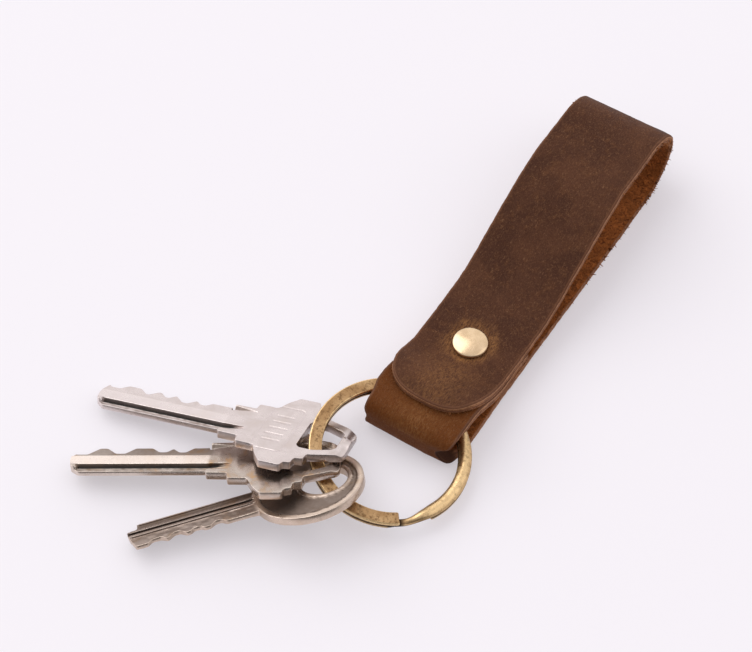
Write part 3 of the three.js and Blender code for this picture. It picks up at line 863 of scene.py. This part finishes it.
def split_ring():
    turn = 2 * math.pi
    travel = 2 * turn - JOG - math.radians(4)
    ease = math.radians(1.2)
    tip = np.array([0, ease * 0.3, ease])
    gone = np.concatenate([tip, np.linspace(2 * ease, travel - 2 * ease, 420), travel - tip[::-1]])
    level = (COIL + COIL_GAP) / 2
    rows = []
    for g in gone:
        rounded = float(ramp(g, FLAT_UNTIL, ROUND_FROM)) * float(ramp(g, turn, turn - JOG * 0.6))
        section = wire_section(1 - rounded)
        step = float(ramp(g, turn - JOG, turn - 0.045))
        pinch = float(ramp(g, turn - JOG * 1.5, turn - 0.03) * ramp(g, turn + 0.16, turn + 0.02))
        low = g > turn - JOG / 2
        up = section[:, 1] * (-1 if low and g > turn + 0.05 else 1)
        end = min(g, travel - g)
        shrink = 0.1 * (1 - min(end / ease, 1.0)) ** 2
        across = section[:, 0] * (1 - 0.5 * pinch) + 0.35 * pinch
        across = across * (1 - shrink / (WIRE / 2))
        up = up * (1 - shrink / (COIL / 2))
        angle = CUT - g
        radius = RING_OUTER - WIRE / 2 + across
        lift = up + level * (1 - 2 * step)
        # Painted shade in the gap where the coil passes under the cut end, and where it is pinched.
        gap = float(ramp(g, turn - 0.06, turn - 0.04) * ramp(g, turn + 0.16, turn + 0.1))
        dark = np.clip(section[:, 3] + pinch * 0.25 + gap, 0, 1)
        x, y = radius * math.cos(angle), radius * math.sin(angle)
        rows.append(np.stack([x, y, lift, section[:, 2], dark], 1))
    around = len(rows[0])
    values = np.concatenate(rows)
    faces = loop_faces(len(rows), around)
    faces.append(tuple(range(around)))
    faces.append(tuple(range((len(rows) - 1) * around, len(rows) * around))[::-1])
    place = np.array(ring_place())
    points = values[:, :3] @ place[:3, :3].T + place[:3, 3]
    made = mesh_object("split_ring_wire", points, faces, {"worn": values[:, 3], "grime_and_shade": values[:, 4]})
    face_outwards(made)
    made.data.materials.append(antique_brass())
    return made


# ---- keys ----
KEY_THICK = 1.9
SLICE = -1.2  # a level that only the key's outline and hole cross
EDGE_STEPS = (0.03, 0.08, 0.16, 0.27)
GRID = 0.3
CORNER = 0.22  # how far the outline's corners are cut back
STEP_LINES = (-0.1, -0.035, 0.035, 0.1)  # points beside each step across the key
ROUNDING = 0.1  # radius of a key's worn edges
FINE = 0.11  # spacing of the mesh's points where a face has small facets


def key_frame(node):
    """The key's axes from its CAD mesh: u from tip to head, v across, w out of the upper face at w = 0."""
    mesh = frame["nodes"][node].data
    mesh.calc_loop_triangles()
    points = np.array([v.co for v in mesh.vertices]) / MM
    triangles = np.array([t.vertices[:] for t in mesh.loop_triangles])
    a, b, c = (points[triangles[:, k]] for k in range(3))
    cross = np.cross(b - a, c - a)
    area = np.linalg.norm(cross, axis=1)
    normals = cross / np.maximum(area, 1e-9)[:, None]
    main = normals[np.argmax(area * (normals[:, 2] > 0.7))]
    like = (normals @ main) > 0.9999
    w = (cross[like]).sum(0)
    w /= np.linalg.norm(w)
    top = (points @ w).max()
    on_top = np.concatenate([triangles[like][:, pair] for pair in ([0, 1], [1, 2], [2, 0])])
    pairs, counts = np.unique(np.sort(on_top, axis=1), axis=0, return_counts=True)
    border = pairs[counts == 1]
    edges = points[border[:, 1]] - points[border[:, 0]]
    lengths = np.linalg.norm(edges, axis=1)
    ways = edges / np.maximum(lengths, 1e-9)[:, None]
    # The blade's long edges are the direction that most of the border's length shares.
    shared = [lengths[np.abs(ways @ way) > 0.99999].sum() for way in ways]
    u = ways[int(np.argmax(shared))]
    u = u - w * (u @ w)
    u /= np.linalg.norm(u)
    centre = np.array(RING_CENTRE) / MM
    if u @ (centre - points.mean(0)) < 0:
        u = -u
    v = np.cross(w, u)
    along, side = points @ u, points @ v
    origin = u * along.min() + v * (side.min() + side.max()) / 2 + w * top
    return origin, np.stack([u, v, w])


def key_outline(node, origin, axes):
    """Closed loops of (u, v) points where the key's middle plane cuts its CAD mesh, the outer loop first."""
    bm = bmesh.new()
    bm.from_mesh(frame["nodes"][node].data)
    bmesh.ops.remove_doubles(bm, verts=bm.verts, dist=1e-7)
    level = Vector((origin + SLICE * axes[2]) * MM)
    cut = bmesh.ops.bisect_plane(
        bm, geom=bm.verts[:] + bm.edges[:] + bm.faces[:], plane_co=level, plane_no=Vector(axes[2]), dist=1e-9
    )
    edges = [e for e in cut["geom_cut"] if isinstance(e, bmesh.types.BMEdge)]
    links = {}
    for e in edges:
        for a, b in (tuple(e.verts), tuple(e.verts)[::-1]):
            links.setdefault(a, []).append(b)
    loops, seen = [], set()
    for start in links:
        if start in seen:
            continue
        loop, at = [], start
        while at not in seen:
            seen.add(at)
            loop.append(at)
            ahead = [n for n in links[at] if n not in seen]
            if not ahead:
                break
            at = ahead[0]
        local = (np.array([p.co for p in loop]) / MM - origin) @ axes.T
        loops.append(straighten(local[:, :2]))
    bm.free()
    loops.sort(key=lambda l: -abs(signed_area(l)))
    return [l if signed_area(l) * (1 if i == 0 else -1) > 0 else l[::-1] for i, l in enumerate(loops)]


def signed_area(loop):
    x, y = loop.T
    return 0.5 * float(np.sum(x * np.roll(y, -1) - np.roll(x, -1) * y))


def straighten(loop):
    """Drops points that lie on the straight line between their neighbours."""
    before, after = np.roll(loop, 1, 0), np.roll(loop, -1, 0)
    a, b = loop - before, after - loop
    turn = np.abs(a[:, 0] * b[:, 1] - a[:, 1] * b[:, 0])
    return loop[turn > 1e-3]


def round_corners(loop, reach):
    """Cuts each corner back by reach, twice, so that it reads as a small radius."""
    for share in (1.0, 0.42):
        made = []
        for k in range(len(loop)):
            here = loop[k]
            for way in (loop[k - 1] - here, loop[(k + 1) % len(loop)] - here):
                length = np.linalg.norm(way)
                made.append(here + way / length * min(reach * share, length * 0.32))
        loop = np.array(made)
    return loop


def dense(loop, step):
    made = []
    for k in range(len(loop)):
        a, b = loop[k], loop[(k + 1) % len(loop)]
        count = max(1, int(np.ceil(np.linalg.norm(b - a) / step)))
        made += [a + (b - a) * i / count for i in range(count)]
    return np.array(made)


def distance_to(points, loops):
    """Distance from each point to the nearest loop."""
    best = np.full(len(points), 1e9)
    for loop in loops:
        a, b = loop, np.roll(loop, -1, 0)
        ab = b - a
        length2 = np.maximum((ab**2).sum(1), 1e-12)
        for chunk in range(0, len(points), 4000):
            p = points[chunk : chunk + 4000]
            t = np.clip(((p[:, None, :] - a) * ab).sum(2) / length2, 0, 1)
            near = a + t[..., None] * ab
            d = np.sqrt(((p[:, None, :] - near) ** 2).sum(2)).min(1)
            best[chunk : chunk + 4000] = np.minimum(best[chunk : chunk + 4000], d)
    return best


def inside(points, loop):
    x, y = points.T
    hit = np.zeros(len(points), bool)
    for (x0, y0), (x1, y1) in zip(loop, np.roll(loop, -1, 0)):
        crosses = (y0 > y) != (y1 > y)
        at = x0 + (y - y0) / np.where(y1 == y0, 1e-12, y1 - y0) * (x1 - x0)
        hit ^= crosses & (x < at)
    return hit


def within(points, loops):
    """Whether each point lies inside the first loop and outside the others."""
    kept = inside(points, loops[0])
    for hole in loops[1:]:
        kept &= ~inside(points, hole)
    return kept


def lattice(us, vs):
    return np.stack(np.meshgrid(us, vs), -1).reshape(-1, 2)


def key_mesh(node, top, bottom, lines, fine):
    """A key from its CAD outline. top and bottom give (depth, dirt with painted shade, worn) at a point of
    each face.

    lines are the places of steps across the key, fine the boxes (u, u, v, v) that need closer points.
    """
    origin, axes = key_frame(node)
    loops = [dense(round_corners(l, CORNER), GRID) for l in key_outline(node, origin, axes)]
    border = np.concatenate(loops)
    edges, start = [], 0
    for l in loops:
        edges += [(start + k, start + (k + 1) % len(l)) for k in range(len(l))]
        start += len(l)
    points = [border]
    for step in EDGE_STEPS:
        for l in loops:
            way = unit(np.roll(l, -1, 0) - np.roll(l, 1, 0))
            moved = l + step * np.stack([-way[:, 1], way[:, 0]], 1)
            points.append(moved[distance_to(moved, loops) > 0.93 * step])
    low, high = border.min(0), border.max(0)
    us = np.arange(low[0], high[0], GRID)
    vs = np.arange(low[1], high[1], GRID)
    for line in lines:
        vs = np.concatenate([vs[np.abs(vs - line) > 0.2], [line + gap for gap in STEP_LINES]])
    grid = lattice(us, np.sort(vs))
    points.append(grid[within(grid, loops) & (distance_to(grid, loops) > EDGE_STEPS[-1] + 0.12)])
    for u0, u1, v0, v1 in fine:
        box = lattice(np.arange(u0, u1, FINE), np.arange(v0, v1, FINE))
        points.append(box[inside(box, loops[0]) & (distance_to(box, loops) > EDGE_STEPS[-1] + 0.05)])
    flat = np.concatenate(points)
    made = delaunay_2d_cdt([Vector(p) for p in flat], edges, [], 1, 1e-7)
    flat = np.array([tuple(p) for p in made[0]])
    triangles = np.array([tuple(f) for f in made[2]])
    triangles = triangles[within(flat[triangles].mean(1), loops)]
    distance = distance_to(flat, loops)
    drop = ROUNDING - np.sqrt(np.maximum(ROUNDING**2 - np.maximum(ROUNDING - distance, 0) ** 2, 0))
    count = len(flat)
    sides, values = [], []
    for face, level, sign in ((top, 0.0, -1.0), (bottom, -KEY_THICK, 1.0)):
        depth, grime_and_shade, worn = face(flat[:, 0], flat[:, 1])
        sides.append(np.column_stack([flat, level + sign * (depth + drop)]))
        worn = np.clip(worn + ramp(distance, ROUNDING * 1.2, 0) * 0.5, 0, 1)
        values.append(np.column_stack([grime_and_shade * ramp(distance, 0.0, 0.15), worn]))
    local = np.concatenate(sides)
    values = np.concatenate(values)
    faces = [tuple(t) for t in triangles] + [tuple(t[::-1] + count) for t in triangles]
    # made[3] gives each new point's input points, and the border came first.
    back = {}
    for new, olds in enumerate(made[3]):
        for old in olds:
            back[old] = new
    shaded_sides = []
    for a, b in edges:
        a, b = back[a], back[b]
        faces.append((b, a, a + count, b + count))
        way = flat[b] - flat[a]
        # Painted shade: each side wall is darker the more it faces the head end.
        shaded_sides.append(np.clip(0.42 + 1.0 * way[1] / np.linalg.norm(way), 0.08, 1.0))
    placed = local @ axes + origin
    attributes = {"along": local, "grime_and_shade": values[:, 0], "worn": values[:, 1]}
    made = mesh_object(node + "_body", placed, faces, attributes)
    face_outwards(made)
    made.data.set_sharp_from_angle(angle=math.radians(32))
    # The face attribute side holds that painted shade on the side walls.
    side = np.zeros(len(faces), np.float32)
    side[2 * len(triangles) :] = shaded_sides
    made.data.attributes.new("side", "FLOAT", "FACE").data.foreach_set("value", side)
    return made


BACK_EDGE = 3.2  # the stepped back edge begins this far from the blade's middle
SLOT_EDGE = 2.2  # the slot beside the stepped edge, painted black as shade, begins here
MILL_EDGE = 1.0
CUTTER = 20.0  # radius of the wheel that mills the blade
LEDGE_DEPTH = 0.75
SLOT_DEPTH = 1.15
BLADE_SIDE = 4.25  # just past the stepped blade's side
BACK_END, SLOT_END, MILL_END = 29.2, 28.6, 28.2  # where the stepped blade's channels begin to run out
ROUND_HEAD, ROUND_HOLE = 39.6, 43.2  # stations of the round head's middle and of its hole's


def channel(u, v, low, high, depth, end, wall=0.05):
    """Depth of a milled channel between v = low and high that runs out of the surface past u = end."""
    over = np.maximum(u - end, 0)
    floor = np.maximum(depth - over**2 / (2 * CUTTER), 0)
    return floor * ramp(v, low - wall, low + wall) * ramp(v, high + wall, high - wall)


# The wedge-shaped pocket that the blade's cutter leaves in the shoulder: from u, to u, low, high and tip v.
POCKET = (29.9, 36.2, 3.3, 5.45, 4.5)
POCKET_DEPTH = 1.15
# The stamped field on the stepped head: middle (u, v) and half sizes.
STAMP = (42.0, 0.0, 3.6, 8.6)
STAMP_LINE = 0.32
STAMP_DEPTH = 0.085
BAR_PITCH = 2.4


def pocket_lines(u):
    """How far the pocket still is from its end at u, and where its near edge, bottom and far edge are."""
    start, end, low, high, tip = POCKET
    share = np.clip((end - u) / (end - start), 0, 1)
    near, bottom, far = (tip + (v - tip) * share for v in (low, low + 0.55 * (high - low), high))
    return share, near, bottom, far


def pocket_depth(u, v):
    share, near, bottom, far = pocket_lines(u)
    up = (v - near) / np.maximum(bottom - near, 1e-3)
    rise = np.minimum(up, (far - v) / np.maximum(far - bottom, 1e-3))
    return POCKET_DEPTH * share * np.clip(rise, 0, 1) * (u > POCKET[0])


def pocket_shade(u, v, depth):
    """Painted shade in the pocket: dark on its far wall, brown on its near one, left out along the bottom."""
    _, _, bottom, _ = pocket_lines(u)
    wall = np.where(v > bottom, 0.78, 0.5) * ramp(depth, 0.02, 0.2)
    return wall * (1 - 0.9 * bump_at(v, bottom, 0.13))


def stamp_depth(u, v):
    """A plain engraved frame with short bars inside it."""
    middle_u, middle_v, half_u, half_v = STAMP
    du, dv = np.abs(u - middle_u), np.abs(v - middle_v)
    corner = np.hypot(np.maximum(du - half_u + 1.4, 0), np.maximum(dv - half_v + 1.4, 0)) - 1.4
    frame_line = ramp(np.abs(corner), STAMP_LINE, STAMP_LINE * 0.4)
    place = (v - middle_v) / BAR_PITCH
    bar = ramp(np.abs(place - np.round(place)) * BAR_PITCH, 0.42, 0.22) * ramp(du, half_u - 1.3, half_u - 1.6)
    bar = bar * (np.abs(np.round(place)) < 3)
    return STAMP_DEPTH * np.maximum(frame_line, bar)


def stepped_top(wear, mill_depth, stamped):
    def face(u, v):
        back = channel(u, v, -BLADE_SIDE, -BACK_EDGE, LEDGE_DEPTH, BACK_END)
        slot = channel(u, v, -BACK_EDGE, -SLOT_EDGE, SLOT_DEPTH, SLOT_END) * ramp(u, 1.5, 2.3)
        mill = channel(u, v, MILL_EDGE, BLADE_SIDE, mill_depth, MILL_END)
        band = channel(u, v, -SLOT_EDGE, MILL_EDGE, 0.08, BACK_END, 0.1)
        pocket = pocket_depth(u, v)
        end = 0.45 * ramp(u, 56.9, 58.4) * ramp(np.abs(v), 0.4, 2.2)
        end = end + 0.4 * ramp(u, 55.9, 57.9) * ramp(v, 1.2, 2.6)
        pillow = 0.05 * ((v / 13) ** 2) * ramp(u, 33, 40)
        dents = wear * (0.02 * ripple(u, v, 2.5, 21) + 0.012 * ripple(u, v, 0.9, 22))
        depth = np.maximum(back, slot) + mill + band + pocket + end + pillow + np.maximum(dents, 0)
        depth = depth + stamp_depth(u, v) * stamped
        ledge = 0.4 + 0.35 * ripple(u, v, 0.8, 23)
        grime_and_shade = ramp(back, 0.2, 0.6) * ledge + ramp(mill, 0.1, 0.3) * wear * 0.45
        # Painted shade: the slot is painted near black.
        grime_and_shade = np.maximum(grime_and_shade, ramp(slot, 0.35, 0.8))
        # Painted shade on the pocket's walls.
        grime_and_shade = np.maximum(grime_and_shade, pocket_shade(u, v, pocket))
        worn = ramp(band, 0.02, 0.07) * (0.3 + 0.7 * wear)
        return depth, np.clip(grime_and_shade, 0, 1), worn

    return face


def stepped_bottom(u, v):
    groove = channel(u, v, -1.9, 0.6, 0.5, 28.1)
    depth = groove + 0.01 * (1 + ripple(u, v, 2.0, 31))
    return depth, ramp(groove, 0.2, 0.55) * 0.6, np.zeros(len(u))


def round_face(u, v):
    reach = np.hypot(u - ROUND_HEAD, v)
    hole = np.hypot(u - ROUND_HOLE, v)
    field = ramp(reach, 10.8, 10.55) * ramp(hole, 6.15, 6.4)
    on_head = ramp(reach, 12.4, 11.8)
    blade = 1 - on_head
    back = channel(u, v, BACK_EDGE, 99, LEDGE_DEPTH, 26.5) * blade
    wide = channel(u, v, 1.25, BACK_EDGE - 0.35, 0.35, 26.5) * blade
    slot = channel(u, v, -0.2, 0.6, 0.8, 24.0) * blade
    mill = channel(u, v, -99, -MILL_EDGE, 0.4, 25.5) * blade
    rough = 0.05 * (1 + ripple(u, v, 0.9, 41)) * ramp(v, -MILL_EDGE, -MILL_EDGE - 0.3) * blade
    depth = 0.3 * field + back + wide + slot + mill + rough
    # Painted shade: dark lines at the foot of the rim and round the hole.
    outline_dark = bump_at(reach, 10.6, 0.16) + bump_at(hole, 6.35, 0.14)
    patchy = 0.2 + 0.25 * ripple(u, v, 1.1, 42)
    grime_and_shade = field * 0.5 + ramp(wide, 0.1, 0.3) * 0.55 + ramp(mill, 0.1, 0.35) * patchy
    grime_and_shade = np.maximum(grime_and_shade, ramp(slot, 0.25, 0.6))
    # The rim and hole lines add painted shade, up to nearly black.
    grime_and_shade = np.maximum(grime_and_shade, np.minimum(outline_dark, 0.88) * on_head)
    worn = bump_at(reach, 11.5, 0.5) * 0.8 + bump_at(hole, 5.7, 0.4) * 0.8
    return depth, np.clip(grime_and_shade, 0, 1), worn


KEY_STEPS = (-BACK_EDGE, -SLOT_EDGE, MILL_EDGE, -BLADE_SIDE, BLADE_SIDE)
ROUND_STEPS = (BACK_EDGE, BACK_EDGE - 0.35, 1.25, 0.6, -0.2, -MILL_EDGE)
HEAD_FACETS = ((29.6, 36.8, 2.8, 5.7), (55.8, 58.6, -3.0, 3.0))
STAMP_BOX = tuple(STAMP[k] + sign * (STAMP[k + 2] + 0.5) for k in (0, 1) for sign in (-1, 1))


# Each metal is also the name of its key's material slot.
METALS = {
    "bright_nickel": dict(
        clean=(0.7, 0.62, 0.595), dull=(0.6, 0.525, 0.5),
        polished=(0.84, 0.755, 0.73), grime_and_shade=(0.16, 0.11, 0.085),
        tint=(0.66, 0.55, 0.45), tint_share=0.2, rough=0.24,
    ),
    # Darker than the upper key's metal: partly painted shade, as this key lies in the upper key's shadow; its
    # brass tint is the metal's own.
    "worn_nickel": dict(
        clean=(0.6, 0.52, 0.46), dull=(0.42, 0.345, 0.29),
        polished=(0.95, 0.83, 0.74), grime_and_shade=(0.1, 0.065, 0.045),
        tint=(0.62, 0.36, 0.15), tint_share=0.7, rough=0.2,
    ),
    "dark_nickel": dict(
        clean=(0.48, 0.395, 0.345), dull=(0.34, 0.265, 0.22),
        polished=(0.88, 0.71, 0.57), grime_and_shade=(0.085, 0.055, 0.036),
        tint=(0.46, 0.29, 0.16), tint_share=0.5, rough=0.24,
    ),
}
UPPER_FINE = (*HEAD_FACETS, STAMP_BOX)
UPPER_TOP = stepped_top(wear=0.3, mill_depth=0.12, stamped=1.0)
MIDDLE_TOP = stepped_top(wear=1.0, mill_depth=0.4, stamped=0.0)
KEYS = (
    ("house_key_upper", "upper_key", "bright_nickel", UPPER_TOP, stepped_bottom, KEY_STEPS, UPPER_FINE),
    ("house_key_middle", "middle_key", "worn_nickel", MIDDLE_TOP, stepped_bottom, KEY_STEPS, HEAD_FACETS),
    ("round_key_lower", "lower_key", "dark_nickel", round_face, round_face, ROUND_STEPS, ()),
)


def keys():
    metals = {name: nickel(name, **look) for name, look in METALS.items()}
    for node, body, slot, top, bottom, steps, fine in KEYS:
        key = key_mesh(node, top, bottom, steps, fine)
        key.data.materials.append(metals[slot])
        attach(key, body)
        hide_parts(node)


# ---- object ----
def build():
    leather = strap()
    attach(leather, "strap")
    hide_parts("leather_strap")
    brass = brass_cap()
    cap_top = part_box("rivet_cap")[1].z / MM
    seat = STRAP_TOP + SEAT_GAP
    upper = cap("rivet_top_cap", seat, cap_top - seat, 0.0, 1, brass)
    foot = RIVET_FOOT - SEAT_GAP
    lower = cap("rivet_bottom_cap", foot, foot, FOOT_RADIUS, -1, brass)
    for made, node in ((upper, "rivet_cap"), (lower, "rivet_base_cap")):
        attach(made, "strap")
        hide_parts(node)
    metal = steel()
    for node in ("rivet_socket", "rivet_post"):
        held = frame["nodes"][node]
        held.data.materials.clear()
        held.data.materials.append(metal)
    ring = split_ring()
    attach(ring, "ring")
    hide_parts("split_ring")
    keys()


# ---- studio ----
AZIMUTH = math.radians(32.73)
ELEVATION = math.radians(55.18)
DISTANCE = 484.8
TARGET = Vector((-23.125, -2.697, 0.0))
LENS = 101.97
SENSOR = 36
FLOOR = 4000  # half the floor's width
WORLD_STRENGTH = 1.1
# Each lamp: its way from the object as seen by the camera (right, ahead, up), distance, size and watts.
LAMPS = (("key", (-0.75, 0.55, 1.0), 3000, 3000, 40.0), ("fill", (0.9, -0.2, 0.9), 1100, 900, 1.0))


# The surroundings, from behind the object (0) round to the camera's side low down (1).
WORLD_TONES = (
    (0.02, (1.0, 0.985, 1.0)),
    (0.28, (0.85, 0.835, 0.86)),
    (0.6, (0.66, 0.645, 0.67)),
    (0.9, (0.15, 0.14, 0.14)),
)


def studio():
    level = math.cos(ELEVATION)
    back = Vector((math.sin(AZIMUTH) * level, -math.cos(AZIMUTH) * level, math.sin(ELEVATION)))
    camera = bpy.data.cameras.new("camera")
    camera.lens = LENS
    camera.sensor_width = SENSOR
    camera.clip_start, camera.clip_end = 0.01, 20
    eye = add_object("camera", camera)
    eye.location = (TARGET + back * DISTANCE) * MM
    eye.rotation_euler = back.to_track_quat("Z", "Y").to_euler()
    bpy.context.scene.camera = eye

    square = [(x * FLOOR, y * FLOOR, 0) for x, y in ((-1, -1), (1, -1), (1, 1), (-1, 1))]
    floor = mesh_object("floor", square, [(0, 1, 2, 3)])
    floor.location.z = -0.02 * MM
    floor.data.materials.append(floor_material())

    right = Vector((math.cos(AZIMUTH), math.sin(AZIMUTH), 0))
    ahead = Vector((-math.sin(AZIMUTH), math.cos(AZIMUTH), 0))
    for name, (to_right, to_ahead, to_top), distance, size, power in LAMPS:
        lamp = bpy.data.lights.new(name, "AREA")
        lamp.shape = "SQUARE"
        lamp.size = size * MM
        lamp.energy = power
        light = add_object(name, lamp)
        way = (right * to_right + ahead * to_ahead + Vector((0, 0, to_top))).normalized()
        light.location = way * distance * MM
        light.rotation_euler = way.to_track_quat("Z", "Y").to_euler()

    world = bpy.data.worlds.new("studio")
    g = Graph(world)
    place = g.node("TexCoord", "Generated", {})
    view = (math.sin(AZIMUTH), -math.cos(AZIMUTH), -0.3)
    toward = g.node("VectorMath", "Value", {0: place, 1: view}, operation="DOT_PRODUCT")
    share = g.node("MapRange", "Result", {"From Min": -1.0, "Value": toward})
    tint = g.node("ValToRGB", "Color", {"Fac": share})
    tones = tint.node.color_ramp
    tones.interpolation = "EASE"
    for at, colour in WORLD_TONES:
        tones.elements.new(at).color = (*colour, 1)
    tones.elements.remove(tones.elements[0])
    tones.elements.remove(tones.elements[-1])
    background = g.nodes["Background"]
    g.put(background.inputs["Color"], tint)
    g.put(background.inputs["Strength"], WORLD_STRENGTH)
    bpy.context.scene.world = world
    bpy.context.scene.view_settings.view_transform = "Standard"


studio()
build()
